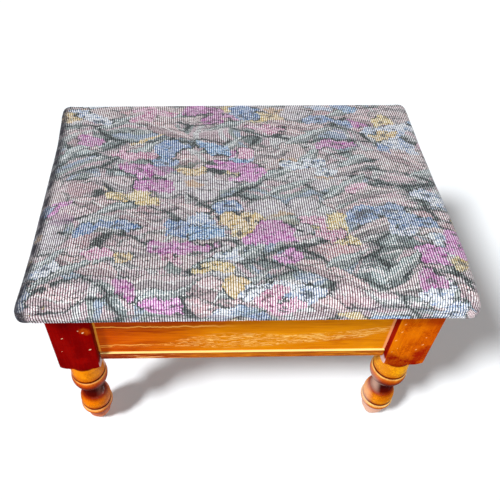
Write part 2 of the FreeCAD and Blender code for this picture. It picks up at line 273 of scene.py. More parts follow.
def add_world():
    s = Shader("world", bpy.data.worlds)
    bpy.context.scene.world = s.made
    sky, white = (s.node("ShaderNodeBackground", {"Color": (1, 1, 1, 1), "Strength": strength})
                  for strength in (AMBIENT, 1.0))
    mixed = s.node("ShaderNodeMixShader", {0: seen_directly(s), 1: sky, 2: white})
    s.node("ShaderNodeOutputWorld", {0: mixed})


def place_lamp(data, place, travel):
    lamp = add_to_scene(data.name, data)
    lamp.location = place
    lamp.rotation_mode = "QUATERNION"
    lamp.rotation_quaternion = travel.to_track_quat("-Z", "Y")


def add_lamps():
    key = bpy.data.lights.new("key", "SUN")
    key.energy = KEY * math.pi * KEY_TRAVEL.length / abs(KEY_TRAVEL.z)
    key.angle = math.radians(10)
    place_lamp(key, (0, 0, 2), KEY_TRAVEL)
    for degrees, share in FILLS:
        fill = bpy.data.lights.new("fill", "AREA")
        fill.shape = "RECTANGLE"
        fill.size, fill.size_y = 2.4, 0.45
        fill.energy = share * (math.pi * FILL_DISTANCE) ** 2
        turn = math.radians(degrees)
        place = Vector((math.cos(turn), math.sin(turn), 0)) * FILL_DISTANCE
        place.z = FILL_HEIGHT
        place_lamp(fill, place, Vector((0, 0, FILL_HEIGHT - FILL_AIM)) - place)


def stage_and_lights():
    add_floor()
    add_world()
    add_lamps()
    bpy.context.scene.view_settings.view_transform = "Standard"


# ---- Wood ----

def wood_figure(s, along, across, up, seed):
    """Stain patches, fibres and pores of a varnished board: three values from 0 to 1.

    along, across and up are distances in metres, the first along the grain.
    """
    def drawn_out(length, width, turn, detail, roughness, distortion=0.0):
        """Noise with so many features to the metre along the grain and across it."""
        place = s.combine(s.times(along, length), s.times(across, width),
                          s.line(up, width, seed * turn))
        return s.noise(place, 1.0, detail, roughness, distortion)

    patches = drawn_out(9.0, 26.0, 1, 3.0, 0.6, 0.5)
    fibres = drawn_out(26.0, 430.0, 3, 4.0, 0.65)
    pores = s.step(drawn_out(90.0, 1500.0, 5, 2.0, 0.5), 0.62, 0.72)
    return patches, fibres, pores


def axes_of(s, grain):
    """Distances along the grain, across and up, from the position in metres."""
    x, y, z = s.split(s.position())
    return {"x": (x, y, z), "y": (y, x, z), "z": (z, x, y)}[grain]


def varnished(s, colour, figure, gloss=0.22, coat=0.04, worn=None, ior=1.05):
    """Glossy varnish over wood, with a faint texture of the grain below it."""
    _, fibres, pores = figure
    smears = s.noise(s.position(), 38.0, 3.0, 0.6)
    rough = s.line(pores, 0.12, s.step(smears, 0.3, 0.75, gloss - 0.06, gloss + 0.12))
    if worn is not None:
        rough = s.line(worn, 0.25, rough)
    grain = s.bump(s.line(fibres, 0.5, s.times(pores, -0.9)), 0.00010, 0.5)
    uneven = s.bump(s.noise(s.position(), 55.0), 0.0006, 0.25, grain)
    return s.finish(colour, rough, uneven, IOR=ior, Coat_Weight=coat, Coat_Roughness=0.08)


def stained(s, figure, light, middle, dark, contrast=1.0):
    """Colour of stained wood from its figure, between three tones."""
    patches, fibres, pores = figure
    tone = s.plus(s.times(patches, 0.62), s.times(fibres, 0.38))
    spread = 0.13 / contrast
    colour = s.mix(s.step(tone, 0.5 - spread, 0.5), light, middle)
    colour = s.mix(s.step(tone, 0.5, 0.5 + spread), colour, dark)
    return s.over(colour, dark, pores, 0.25)


def specks(s, a, b, places, grit):
    """Small chips in the varnish: (a, b, size) in millimetres on a flat face."""
    spots = []
    for place_a, place_b, size in places:
        da, db = s.less(a, place_a / 1000), s.less(b, place_b / 1000)
        # Longer up to the right than across.
        away = s.length(s.combine(s.times(s.less(da, db), 0.95), s.times(s.plus(da, db), 0.45)))
        away = s.line(grit, 0.0016, away)
        spots.append(s.step(away, size * 0.0009 + 0.0008, size * 0.0004 + 0.0008))
    return s.largest(*spots)


# The pale open grain on the front board: place along it, height and half width, in mm.
OPEN_GRAIN = ((-146, 171, 1.8), (-80, 173, 3.0), (-55, 178, 8.0), (-20, 180, 13.0),
              (15, 180, 12.0), (50, 181, 8.5), (90, 186, 7.0), (119, 190, 7.0), (146, 199, 4.0))
SPAN, HIGHEST, WIDEST = 292, 250, 25  # what 1 stands for in each of those, in mm


def open_grain(s, along, up):
    """How far a point lies inside the band of pale grain, from 0 to 1."""
    stops = [(x / SPAN + 0.5, (z / HIGHEST, half / WIDEST, 0, 1)) for x, z, half in OPEN_GRAIN]
    centre, half, _ = s.split(s.ramp(s.line(along, 1000 / SPAN, 0.5), stops))
    off = s.apart(up, s.times(centre, HIGHEST / 1000))
    return s.step(s.ratio(off, s.times(half, WIDEST / 1000)), 1.25, 0.75)


# Wavy pale lines on the front board: height, where each starts and ends along it, strength.
PALE_LINES = ((0.2060, 0.0, -0.05, 0.85), (0.1735, -0.085, -0.105, 0.7))


def front_board_marks(s, colour, along, up):
    """Open grain, a painted shadow of the lid along its top, pale lines, and light ends beside
    the legs.
    """
    wavy = s.noise(s.scaled(s.position(), (22.0, 1.0, 90.0)), 1.0)
    at = s.line(wavy, 0.006, s.less(up, 0.003))
    grain = s.noise(s.combine(s.times(along, 78.0), 0.0, s.times(at, 800.0)), 1.0, 2.0, 0.6, 1.5)
    opened = open_grain(s, along, up)
    pale = s.mix(s.step(along, -0.09, -0.04), (255, 180, 74), (255, 214, 124))
    colour = s.over(colour, pale, opened, s.step(grain, 0.52, 0.60), 0.8)
    colour = s.over(colour, (186, 84, 10), opened, s.step(grain, 0.44, 0.34), 0.45)
    ripple = s.noise(s.combine(s.times(along, 75.0), 0.0, 3.0), 1.0, 3.0, 0.6)
    at = s.line(s.less(ripple, 0.5), 0.006, at)
    # Painted shadow of the lid's overhang: a dark red band along the top of the left half.
    colour = s.over(colour, (176, 48, 4), s.step(at, 0.2070, 0.2092), s.step(along, 0.05, -0.04),
                    0.5)
    for height, start, end, strength in PALE_LINES:
        line = s.step(s.apart(at, height), 0.0012, 0.0004)
        colour = s.over(colour, (255, 184, 84), line, s.step(along, start, end), strength)
    colour = s.over(colour, (255, 176, 62), s.step(along, -0.1434, -0.1444), 0.8)
    return s.over(colour, (255, 176, 120), s.step(along, 0.1425, 0.1445), 0.9)


def apron_material(node, grain, seed, left, right):
    """Board varnish from one tone at its left end to another at its right: painted light and
    shade.
    """
    s = Shader(node + "_varnish")
    along, across, up = axes_of(s, grain)
    figure = wood_figure(s, along, across, up, seed)
    drift = s.times(s.noise(s.position(), 12.0), 0.08)
    # Painted light and shade: darker at one end of the board, lighter at the other.
    left_to_right_light = s.step(s.plus(along, drift), -0.11, 0.06)
    colour = stained(s, figure, *[s.mix(left_to_right_light, a, b) for a, b in zip(left, right)])
    if node == "apron_front":
        colour = front_board_marks(s, colour, along, up)
    return varnished(s, colour, figure, coat=0.02, ior=1.035)


# Colour of the turned part from the floor up: height in mm and screen colour.
# The dark grooves, the dark waist and the dark undersides of the beads are painted shade; the
# pale lips just below the grooves are painted highlights.
TURNING = ((0, (110, 34, 10)), (5, (190, 98, 44)), (12, (224, 144, 84)), (20, (192, 92, 36)),
           (27, (120, 30, 6)), (32, (140, 44, 8)), (36, (222, 130, 40)), (38.6, (255, 212, 132)),
           (39.8, (96, 22, 2)), (41.6, (96, 18, 1)), (43, (196, 96, 6)), (48, (238, 158, 8)),
           (55, (222, 130, 6)), (59.5, (148, 48, 4)), (63, (78, 9, 2)), (68, (58, 3, 1)),
           (84, (58, 3, 1)), (91, (80, 11, 2)), (95, (126, 36, 3)), (99, (182, 76, 7)),
           (102.4, (214, 116, 22)), (104.4, (255, 206, 116)), (105.4, (104, 20, 2)),
           (107.5, (104, 18, 1)), (109, (214, 124, 8)), (116, (244, 170, 12)),
           (131, (240, 158, 8)), (141.5, (216, 108, 4)))
TURNED_TOP = TURNING[-1][0]
GROOVES = (0.0408, 0.1065)  # heights of the two turned grooves
NECK = 0.076  # height of the waist's middle
BLOCK_TONE_EDGE = 0.1312  # the blocks' dark tone runs down to here
CHIP_LEFT, CHIP_RIGHT = (255, 232, 190), (250, 196, 120)


def leg_material(node, seed, warmth_and_outer_shade, painted_reflection_share, block, side, edge, spots=(), marks=()):
    """Leg varnish: the square block has its own stain, its face towards the middle darker as
    painted shade, the turning a third.

    block and side are (light, middle, dark) tones; side is the face towards the middle, darker as
    painted shade. edge is the colour of the painted highlight on the arrises. spots are pale
    chips
    on the front face: (x, z, size). marks are darker or paler patches: (x, z, size, strength,
    colour). warmth_and_outer_shade is how much redder the turned part is than TURNING, and how
    dark the painted shade down its outer side; painted_reflection_share how strong the painted
    reflection on its inner side, neck and toe.
    """
    s = Shader(node + "_varnish")
    low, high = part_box(node)
    cx, cy = (low.x + high.x) / 2, (low.y + high.y) / 2
    x, y, z = s.split(s.position())
    inward = s.times(s.less(x, cx), -1.0 if cx > 0 else 1.0)
    figure = wood_figure(s, z, x, y, seed)
    grit = s.noise(s.position(), 700.0, 2.0, 0.6)
    blotch = s.noise(s.position(), 46.0, 4.0, 0.62)
    mottled = s.plus(s.times(blotch, 0.6), s.times(grit, 0.4))

    face = stained(s, figure, *block, contrast=0.9)
    face = s.mix(s.step(mottled, 0.50, 0.60, 0.0, 0.5), face, block[2])
    for place_x, place_z, size, strength, tone in marks:
        away = s.length(s.combine(s.less(x, place_x / 1000), s.less(z, place_z / 1000)))
        away = s.line(s.less(blotch, 0.5), size * 0.0016, away)
        face = s.over(face, tone, s.step(away, size / 1000, size / 2500),
                      s.step(mottled, 0.44, 0.54, 1.0, 0.62), strength)
    # Painted shade: the face towards the middle, under the lid beside the apron, takes the darker
    # side tones.
    face = s.mix(s.step(inward, 0.0204, 0.0208), face, stained(s, figure, *side))
    # Painted highlights on the arrises, which are also worn rougher, a stronger one on the inner
    # arris, and a painted reflection of the floor low on the inner side.
    corner = s.plus(s.apart(x, cx), s.apart(y, cy))
    arris_highlight_and_wear = s.step(s.line(blotch, 0.0012, corner), 0.0418, 0.0424)
    face = s.over(face, edge, arris_highlight_and_wear, 0.35)
    # Painted highlight on the inner arris, pale pink, in its lower part.
    inner_arris_highlight = s.times(arris_highlight_and_wear, s.times(s.step(inward, 0.0, 0.002), s.step(z, 0.206, 0.196)))
    face = s.over(face, (238, 178, 160), inner_arris_highlight, s.step(mottled, 0.56, 0.48, 0.2, 0.75))
    # Painted reflection of the floor, pale pink, low on the face towards the middle.
    face = s.over(face, (226, 196, 190), s.step(inward, 0.0198, 0.0204),
                  s.step(z, 0.1555, 0.1500), 0.85)
    if spots:
        face = s.over(face, CHIP_LEFT if cx < 0 else CHIP_RIGHT, specks(s, x, z, spots, grit),
                      s.step(y, cy - 0.0200, cy - 0.0206), 0.85)

    turned = s.ramp(s.ratio(z, TURNED_TOP / 1000),
                    [(height / TURNED_TOP, srgb(*tone)) for height, tone in TURNING])
    turned = s.tinted(turned, (205, 160, 130), s.step(mottled, 0.47, 0.60, 0.0, 0.7))
    turned = s.tinted(turned, (1.25, 1.45, 1.3, 1.0), s.step(mottled, 0.46, 0.36, 0.0, 0.8))
    turned = s.tinted(turned, (255, 165, 110), warmth_and_outer_shade)
    # Painted shade down the outer side of the turning, strongest on the redder legs.
    outer_side_shade = s.step(inward, -0.009, -0.017, 0.0, math.sqrt(warmth_and_outer_shade))
    turned = s.over(turned, (104, 26, 4), outer_side_shade, 0.7)
    # Painted reflection: paler on the inner side, the neck and the toe.
    neck = s.times(s.step(s.apart(z, NECK), 0.018, 0.008), s.step(inward, 0.003, 0.010))
    pale = s.largest(s.times(s.step(inward, 0.010, 0.018), s.step(z, 0.106, 0.090)),
                     s.times(neck, 1.3), s.step(z, 0.034, 0.026, 0.0, 1.6))
    turned = s.over(turned, (244, 200, 178), pale, painted_reflection_share)

    # The blocks' dark tone runs on over the top of the turning, part stain and part painted shade
    # under the block, with a darker line at its edge.
    on_block = s.step(s.line(blotch, 0.0016, z), BLOCK_TONE_EDGE, BLOCK_TONE_EDGE + 0.0006)
    colour = s.mix(on_block, turned, face)
    colour = s.over(colour, (120, 22, 2), s.step(s.apart(z, BLOCK_TONE_EDGE), 0.0022, 0.0004), 0.6)
    grooves = s.largest(*(s.step(s.apart(z, at), 0.0022, 0.0012) for at in GROOVES))
    veil = s.step(inward, 0.002, 0.016, 0.03, 0.22)
    return varnished(s, colour, figure, gloss=0.18,
                     coat=s.blend(s.largest(on_block, grooves), veil, 0.0), worn=arris_highlight_and_wear, ior=1.025)


BOARD_TOP, EASED = 0.1610, 0.1600  # heights of the bottom board's top, and where its edge eases


def bottom_material():
    """The bottom board: a bright arris all round, part wear and part painted highlight, with
    painted shade below it, streaked edges, bare inside the box.
    """
    s = Shader("bottom_varnish")
    along, across, up = axes_of(s, "x")
    figure = wood_figure(s, along, across, up, 5.0)
    # Painted light and shade: darker at the left end, lighter at the right.
    left_to_right_light = s.step(along, -0.13, 0.02)
    tones = (((206, 106, 24), (230, 144, 20)), ((176, 70, 10), (206, 112, 10)),
             ((132, 34, 6), (160, 68, 6)))
    colour = stained(s, figure, *[s.mix(left_to_right_light, left, right) for left, right in tones])
    saw = s.noise(s.scaled(s.position(), (34.0, 34.0, 520.0)), 1.0, 4.0, 0.7)
    strip = s.step(up, 0.1602, 0.1592)
    colour = s.over(colour, s.mix(left_to_right_light, (120, 24, 6), (150, 66, 8)), s.step(saw, 0.46, 0.58),
                    s.times(strip, 0.85))
    ends = s.step(s.apart(along, 0.025), 0.060, 0.125)
    flecks = s.times(s.step(saw, 0.46, 0.36), s.times(strip, ends))
    colour = s.over(colour, (255, 206, 146), flecks, 0.8)
    # Painted shade in a band just below the eased edge, then the arris: part wear, part painted
    # highlight.
    colour = s.over(colour, (160, 62, 4), s.step(up, 0.1606, EASED), s.step(up, 0.1588, 0.1594),
                    0.5)
    colour = s.over(colour, (255, 236, 150), s.step(up, 0.1604, BOARD_TOP), 0.92)
    inside = stained(s, figure, (226, 178, 112), (206, 152, 86), (168, 108, 52))
    colour = s.over(colour, inside, s.step(s.size(along), 0.163, 0.160),
                    s.step(s.size(across), 0.108, 0.104), s.step(up, EASED, BOARD_TOP))
    return varnished(s, colour, figure)


def plywood_material():
    """Bare plywood: pale faces, alternate dark and pale plies on the edges."""
    s = Shader("plywood")
    x, y, z = s.split(s.position())
    figure = wood_figure(s, x, y, z, 2.0)
    colour = stained(s, figure, (222, 190, 140), (206, 170, 118), (176, 136, 88))
    ply = s.step(s.fract(s.ratio(z, 0.0048)), 0.45, 0.55)
    colour = s.over(colour, (150, 108, 66), ply, 0.35)
    return s.finish(colour, 0.75, s.bump(figure[1], 0.0003, 0.5), Specular_IOR_Level=0.25)


# Stains, each as light, middle and dark.
ORANGE = ((238, 154, 8), (222, 132, 4), (192, 92, 3))
RUSSET = ((230, 108, 4), (204, 76, 2), (156, 36, 1))
RED = ((146, 6, 3), (128, 1, 1), (106, 0, 1))
# DARK_RED is the painted shade on the legs' faces towards the middle.
DARK_RED = ((150, 24, 8), (122, 10, 4), (92, 2, 2))
AMBER = ((228, 120, 4), (208, 92, 2), (160, 40, 2))
CHESTNUT = ((206, 92, 12), (184, 64, 6), (138, 30, 4))
# Colours of the painted highlights on the legs' arrises.
PINK, TAN = (170, 50, 36), (236, 150, 70)

# Apron: grain, seed, tones of its left and right ends; the change between them is painted light
# and shade.
APRONS = {"apron_front": ("x", 1.0, RUSSET, ORANGE), "apron_back": ("x", 3.0, ORANGE, RUSSET),
          "apron_left": ("y", 4.0, RUSSET, ORANGE), "apron_right": ("y", 6.0, RUSSET, ORANGE)}

LEFT_SPOTS = ((-154.6, 208.8, 1.5), (-152.0, 178.8, 1.5), (-175.9, 199.4, 1.0),
              (-158.8, 212.1, 0.9), (-180.0, 176.0, 0.6))
RIGHT_SPOTS = ((151.8, 216.8, 1.3), (151.7, 203.6, 1.0), (149.2, 188.6, 1.3), (177.8, 180.2, 1.3),
               (177.7, 193.0, 0.9), (173.2, 171.1, 1.1), (150.0, 167.6, 0.8), (154.0, 174.0, 0.8))
LEFT_MARKS = ((-152.5, 212.0, 7.0, 0.6, (216, 90, 6)), (-163.0, 158.0, 9.0, 0.5, (168, 8, 2)))
RIGHT_MARKS = ((162.0, 140.0, 27.0, 1.0, (140, 16, 2)), (186.0, 162.0, 18.0, 1.0, (156, 30, 4)),
               (148.0, 156.0, 15.0, 0.9, (140, 18, 2)), (182.0, 226.0, 16.0, 0.8, (176, 50, 6)),
               (164.0, 205.0, 15.0, 0.5, (238, 132, 6)))
# Leg: what leg_material takes after its name.
# The front left block's deep red is part stain and part painted shade.
LEGS = {"leg_front_left": (1.0, 0.45, 0.08, RED, DARK_RED, PINK, LEFT_SPOTS, LEFT_MARKS),
        "leg_front_right": (2.0, 0.0, 0.42, AMBER, DARK_RED, TAN, RIGHT_SPOTS, RIGHT_MARKS),
        "leg_back_left": (3.0, 0.3, 0.05, CHESTNUT, DARK_RED, TAN),
        "leg_back_right": (4.0, 0.3, 0.05, CHESTNUT, DARK_RED, TAN)}


def dress_wood():
    for node, facts in APRONS.items():
        dress(NODES[node], apron_material(node, *facts))
    for node, facts in LEGS.items():
        dress(NODES[node], leg_material(node, *facts))
    dress(NODES["bottom_board"], bottom_material())
    dress(NODES["lid_board"], plywood_material())


# ---- Metal and lining ----

LINING_THREAD = 0.0011  # metres between the lining's threads


def metal_material(name, light, dark, roughness, grain):
    """Rolled metal with a faint drawn grain, dull patches and a little tarnish."""
    s = Shader(name)
    lines = s.noise(s.scaled(s.position(), grain), 1.0, 3.0, 0.6)
    patches = s.noise(s.position(), 160.0, 3.0, 0.6)
    colour = s.mix(s.step(patches, 0.35, 0.7), light, dark)
    colour = s.over(colour, dark, s.step(lines, 0.55, 0.75), 0.3)
    rough = s.step(patches, 0.3, 0.75, roughness - 0.08, roughness + 0.15)
    return s.finish(colour, rough, s.bump(lines, 0.00005, 0.4), Metallic=1.0)


def lining_material():
    """Black non-woven lining cloth on card."""
    s = Shader("lining")
    x, y, _ = s.split(s.position())
    weave = s.times(*(s.math("SINE", s.times(at, 2 * math.pi / LINING_THREAD)) for at in (x, y)))
    fuzz = s.noise(s.position(), 900.0, 3.0, 0.7)
    colour = s.mix(s.step(weave, -0.6, 0.8), (22, 22, 24), (44, 44, 47))
    colour = s.over(colour, (70, 69, 70), s.step(fuzz, 0.5, 0.75), 0.4)
    height = s.line(fuzz, 0.6, s.times(weave, 0.25))
    return s.finish(colour, 0.92, s.bump(height, 0.00025, 0.7), Sheen_Weight=0.15,
                    Specular_IOR_Level=0.2)


def dress_metal():
    brass = metal_material("brass", (214, 176, 104), (160, 118, 58), 0.32, (40, 1500, 1500))
    steel = metal_material("zinc_steel", (196, 198, 202), (140, 142, 148), 0.36, (900, 900, 40))
    for node, obj in NODES.items():
        if node.startswith("hinge"):
            dress(obj, brass)
    for node in ("bottom_screws", "cover_staples"):
        dress(NODES[node], steel)
    dress(NODES["lid_lining"], lining_material())


# ---- Cloth ----

RIB = 0.224  # centimetres between the ribs of the weave
PICK = 0.10  # centimetres between the cross threads
DASH = 0.52  # centimetres of rib between its binding points
DARKENED_EDGE = (-18.9, -19.8)  # centimetres across the cloth: where the darker left edge starts
OUTLINE = (10, 38, 44)
FULL_TURN = 6.283
PETALS = 5

# Ground of the print: from which share of the patches on, thread colour, share of white thread.
GROUND = ((0.00, (198, 104, 134), 0.76), (0.14, (172, 88, 120), 0.66),
          (0.26, (194, 130, 156), 0.90), (0.35, (160, 84, 124), 0.72),
          (0.43, (140, 142, 158), 1.00), (0.50, (176, 106, 144), 0.76),
          (0.57, (74, 116, 118), 0.58), (0.64, (46, 128, 176), 0.64),
          (0.70, (164, 98, 132), 0.72), (0.76, (44, 108, 120), 0.50),
          (0.83, (28, 80, 92), 0.36), (0.89, (96, 156, 166), 0.84))
# Blades: lean in degrees, stretch, cells to the cm, half length, half width, share of the cells
# without one, light, dark, seed.
BLADES = ((-24, 0.36, 0.25, 1.60, 1.00, 0.50, (200, 146, 158), (150, 92, 114), 5.0),
          (27, 0.40, 0.32, 1.30, 0.66, 0.42, (88, 146, 156), (18, 84, 96), 2.0),
          (8, 0.34, 0.26, 1.50, 0.90, 0.62, (176, 126, 146), (112, 76, 98), 9.0))
# Small blossoms: size in cm, seed, drift share, thread colours, shade, white thread, drift scale.
BLOSSOMS = ((1.5, 3.0, 0.606, ((150, 178, 216), (216, 224, 238)), (54, 78, 112), 0.98, 0.15),
            (1.4, 4.0, 0.626, ((222, 190, 78), (232, 210, 116)), (104, 78, 22), 0.76, 0.17),
            (1.5, 5.0, 0.612, ((190, 44, 176), (218, 112, 210)), (110, 14, 104), 0.60, 0.15),
            (1.5, 9.0, 0.626, ((36, 130, 196), (104, 178, 222)), (12, 54, 100), 0.66, 0.15),
            (1.3, 12.0, 0.618, ((206, 104, 168), (226, 156, 200)), (122, 26, 84), 0.80, 0.16))


class Print:
    """The print as it is laid down: the thread colour and the share of white thread."""

    def __init__(self, s, grit):
        self.s, self.grit = s, grit
        self.tone = self.white = None

    def mask(self, value, low, high, rough=0.05):
        """Step whose edge wanders from thread to thread."""
        return self.s.step(self.s.line(self.grit, rough, value), low, high)

    def lay(self, tone, white, *masks):
        """Lays a thread colour and its share of white where all the masks are 1."""
        mask = self.s.times(*masks)
        self.tone = self.s.mix(mask, self.tone, tone)
        self.white = self.s.blend(mask, self.white, white)


def ground_cloth(s, ink, q, p, warp):
    """Long sweeping patches with brush strokes along them and dark broken outlines."""
    stretched = s.scaled(q, (0.36, 1.0, 0))
    patch = s.cells(stretched, 0.42)
    edge = s.cells(stretched, 0.42, feature="DISTANCE_TO_EDGE")["Distance"]
    region = s.step(s.noise(p, 0.10, 1.0), 0.36, 0.64)
    pick = s.blend(0.45, s.split(patch["Color"])[0], region)
    stops = [(at, srgb(*tone)[:3] + (white,)) for at, tone, white in GROUND]
    ink.tone = s.ramp(pick, stops, "CONSTANT")
    ink.white = ink.tone.node.outputs["Alpha"]
    along = s.shifted(s.scaled(q, (0.26, 3.0, 0)), s.scaled(warp, (0, 5, 0)))
    strokes = s.noise(s.shifted(along, s.scaled(patch["Color"], (9, 9, 9))), 1.0, 2.0, 0.55)
    ink.lay((88, 64, 82), 0.38, ink.mask(strokes, 0.60, 0.64), 0.85)
    ink.lay((206, 190, 198), 1.0, ink.mask(strokes, 0.40, 0.36), 0.85)
    fine = s.noise(s.scaled(along, (1.6, 2.6, 1.0)), 1.0, 2.0, 0.6)
    ink.lay((36, 48, 54), 0.24, ink.mask(fine, 0.63, 0.66), 0.85)
    # Hatching in the shade of each patch, then its outline.
    shade = ink.mask(s.line(s.less(fine, 0.5), 0.9, edge), 0.14, 0.08)
    ink.lay((18, 70, 80), 0.34, shade, s.step(region, 0.1, 0.9, 0.45, 0.95))
    width = s.step(s.noise(p, 0.30), 0.40, 0.66)
    line = ink.mask(s.less(edge, s.times(width, 0.035)), 0.040, 0.022, 0.03)
    ink.lay(OUTLINE, 0.12, line, 0.95)
    return strokes


def leaves(s, ink, q, strokes):
    """Long slanted blades, light on one side of the midrib and dark on the other."""
    for lean, stretch, density, half_length, half_width, share, light, dark, seed in BLADES:
        c, d = math.cos(math.radians(lean)), math.sin(math.radians(lean))
        turned = s.combine(s.vec("DOT_PRODUCT", q, (stretch * c, stretch * d, 0)),
                           s.vec("DOT_PRODUCT", q, (-d, c, 0)))
        turned = s.shifted(turned, (seed * 3.7, seed * 5.1, 0))
        way, _, (pick, _, _) = s.scatter(turned, density)
        lx, ly, _ = s.split(way)
        long_way = s.math("POWER", s.size(s.ratio(lx, half_length)), 1.6)
        blade = s.plus(long_way, s.size(s.ratio(ly, half_width)))
        inside = s.times(ink.mask(blade, 1.0, 0.95), s.step(pick, share, share + 0.01))
        side = ink.mask(s.line(s.less(strokes, 0.5), 0.9, ly), -0.06, 0.04)
        ink.lay(s.mix(side, dark, light), s.blend(side, 0.56, 0.84), inside)
        frayed = tuple(int(0.55 * channel) for channel in dark)
        ink.lay(frayed, 0.30, inside, ink.mask(strokes, 0.58, 0.62), 0.8)
        ink.lay(OUTLINE, 0.12, inside, ink.mask(blade, 0.89, 0.94))
        ink.lay((226, 226, 226), 1.0, inside, ink.mask(s.size(ly), 0.06, 0.03, 0.03), 0.8)


def petal_lobe(s, angle):
    """From 0 between two petals to 1 along the middle of one."""
    return s.size(s.cosine(s.times(angle, PETALS / 2)))


def big_blossoms(s, ink, q):
    """Large pale blossoms of a few long petals."""
    place = s.shifted(s.scaled(q, (0.55, 1.0, 0)), (7.3, 3.1, 0))
    way, _, (pick, pick2, pick3) = s.scatter(place, 0.15, 0.8)
    lx, ly, _ = s.split(way)
    angle = s.plus(s.math("ARCTAN2", ly, lx), s.times(pick3, FULL_TURN))
    lobe = s.math("POWER", petal_lobe(s, angle), 0.5)
    share = s.ratio(s.length(way), s.line(lobe, 1.7, 1.0))
    inside = s.times(ink.mask(share, 1.0, 0.96), s.step(pick, 0.40, 0.41))
    tone = s.mix(s.step(pick2, 0.5, 0.51), (168, 110, 126), (150, 128, 158))
    ink.lay(tone, 0.86, inside)
    rays = s.noise(s.combine(s.times(s.cosine(angle), 5.5),
                             s.times(s.math("SINE", angle), 5.5), share), 1.6, 3.0, 0.7)
    ink.lay((120, 74, 94), 0.62, inside, s.times(ink.mask(rays, 0.53, 0.58), 0.8))
    ink.lay((216, 200, 204), 1.0, inside, s.times(ink.mask(rays, 0.42, 0.37), 0.8))
    ink.lay((36, 46, 52), 0.35, inside, ink.mask(share, 0.88, 0.95))
    ink.lay((196, 150, 70), 0.6, inside, ink.mask(share, 0.26, 0.20))


def small_blossoms(s, ink, q, p, small_warp):
    """Drifts of small blossoms, one colour to a drift, with petals parted by dark strokes."""
    stretch = 0.56
    for size, seed, share_of_drift, tones, shade, white, drift_scale in BLOSSOMS:
        place = s.shifted(s.scaled(q, (stretch, 1.0, 0)), (seed * 7.3, seed * 3.1, 0))
        place = s.shifted(place, s.scaled(small_warp, (0.9, 0.9, 0)))
        way, middle, (pick, pick2, pick3) = s.scatter(place, 1 / size)
        lx, ly, _ = s.split(way)
        lobe = petal_lobe(s, s.line(pick3, FULL_TURN, s.math("ARCTAN2", ly, lx)))
        share = s.ratio(s.length(way), s.times(s.line(lobe, 0.20, 0.52), size))
        # The drift is asked for at the middle of the blossom, so that none is cut through.
        drift = s.noise(s.scaled(middle, (1 / stretch, 1.3, 0)), drift_scale)
        zone = s.step(drift, share_of_drift - 0.002, share_of_drift + 0.002)
        inside = s.times(ink.mask(share, 1.02, 0.96, 0.08), zone)
        ink.lay((10, 38, 46), 0.14, zone, ink.mask(share, 1.25, 1.15, 0.08))
        ink.lay(s.mix(s.step(pick, 0.5, 0.51), *tones), white, inside)
        tuft = s.noise(s.scaled(p, (0.5, 1.7, 1.0)), 1.3 + seed * 0.1, 2.0, 0.6)
        ink.lay(tones[0], white * 0.35, inside, ink.mask(tuft, 0.56, 0.59))
        fine = s.noise(s.scaled(p, (0.6, 2.4, 1.0)), 1.5 + seed * 0.1, 3.0, 0.6)
        ink.lay(tones[1], min(1.0, white + 0.3), inside, ink.mask(fine, 0.43, 0.40))
        ink.lay(shade, 0.2, inside, ink.mask(fine, 0.60, 0.63))
        parted = s.times(ink.mask(lobe, 0.22, 0.12), s.step(share, 0.2, 0.3))
        ink.lay(shade, 0.25, inside, s.times(parted, s.step(pick2, 0.25, 0.5)))
        heart = s.times(ink.mask(share, 0.30, 0.24, 0.1), s.step(pick3, 0.6, 0.62))
        ink.lay(shade, 0.3, inside, heart)


def woven(s, ink, u, v, rib_turn, grit):
    """Colour of the weave, its crests and its binding points: white ribs in dashes, painted shade
    in the gaps.
    """
    wave = s.apart(s.fract(rib_turn), 0.5)
    crest = s.step(wave, 0.31, 0.27)
    rib = s.floor(rib_turn)
    dash_turn = s.plus(s.ratio(v, DASH), s.times(s.white(s.combine(rib, 7.0)), 9.0))
    shine = s.white(s.combine(rib, s.floor(dash_turn)))
    share = s.math("MULTIPLY", ink.white, s.line(shine, 0.24, 0.87), clamp=True)
    rib_tone = s.mix(share, ink.tone, (255, 255, 255))
    bind = s.step(s.apart(s.fract(dash_turn), 0.5), 0.40, 0.47)
    rib_tone = s.over(rib_tone, s.mix(0.6, ink.tone, (20, 24, 28)), bind, 0.50)
    salt = s.times(s.step(grit, 0.34, 0.36), s.step(ink.white, 0.55, 0.40))
    rib_tone = s.over(rib_tone, (160, 178, 174), salt, 0.8)
    # Painted shade: the print's colour deepened in the gaps between the ribs.
    gap_shade_tone = s.mix(0.92, ink.tone, ink.tone, "MULTIPLY")
    return s.mix(crest, gap_shade_tone, rib_tone), wave, crest, bind


